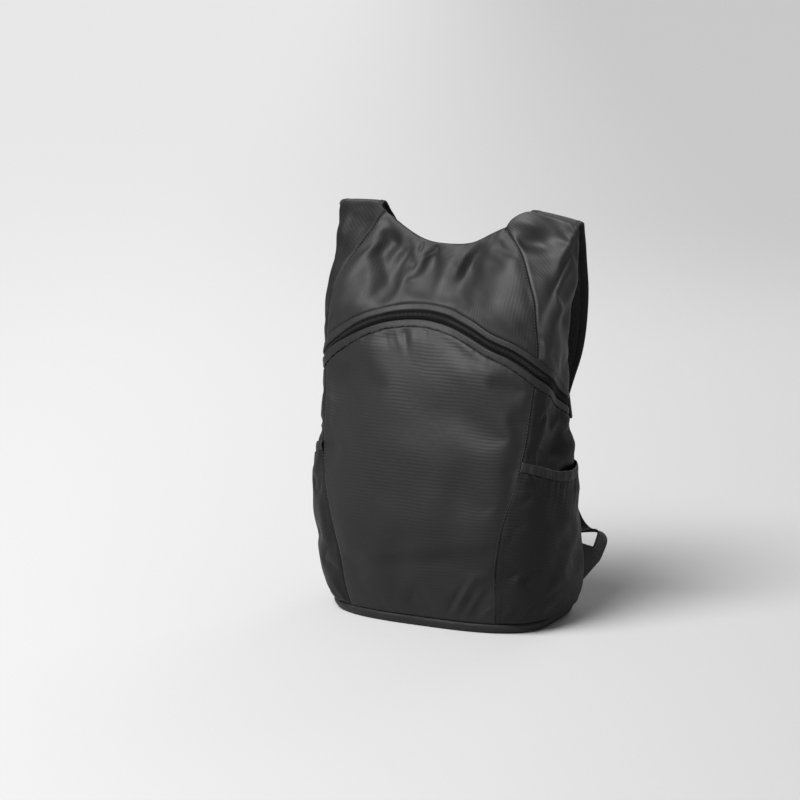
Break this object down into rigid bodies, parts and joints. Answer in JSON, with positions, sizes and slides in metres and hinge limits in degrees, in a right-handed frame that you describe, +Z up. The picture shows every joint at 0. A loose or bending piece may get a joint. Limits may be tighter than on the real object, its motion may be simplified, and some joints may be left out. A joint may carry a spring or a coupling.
{
  "type": "packable backpack",
  "caption": "Lightweight foldable nylon backpack with an arched front zip, vest-style shoulders, side pockets and soft shoulder straps.",
  "frame": {"origin": "centre of the whole part's bounding box at the floor that it stands on", "axes": "+Z up, the front with the zip faces -Y, the shoulder straps are on the +Y side, +X is the right-hand side seen from the front"},
  "size_m": [0.2616, 0.1944, 0.3951],
  "materials": {
    "nylon": "thin black ripstop nylon with a soft sheen",
    "side_nylon": "thin black ripstop nylon, darker where it turns away",
    "hem": "gathered elastic casing of the same nylon",
    "zip_coil": "black nylon zip coil on woven tape",
    "strap_mesh": "matt black spacer cloth",
    "webbing": "matt black woven webbing",
    "plastic": "black moulded plastic"
  },
  "bodies": {
    "root": {"base_panel": "nylon", "front_lower_panel": "nylon", "front_yoke": "nylon", "shoulder_panel_left": "nylon", "shoulder_panel_right": "nylon", "side_lower_left": "side_nylon", "side_lower_right": "side_nylon", "back_panel": "side_nylon", "zip_band_upper": "nylon", "zip_tape": "zip_coil", "zip_band_lower": "nylon", "zip_slider": "plastic", "side_pocket_left": "side_nylon", "side_pocket_right": "side_nylon", "pocket_hem_left": "hem", "pocket_hem_right": "hem", "shoulder_strap_left": "strap_mesh", "shoulder_strap_right": "strap_mesh", "strap_webbing_left": "webbing", "strap_webbing_right": "webbing", "strap_lock_left": "plastic", "strap_lock_right": "plastic", "wing_tab_left": "side_nylon", "wing_tab_right": "side_nylon"}
  },
  "joints": []
}
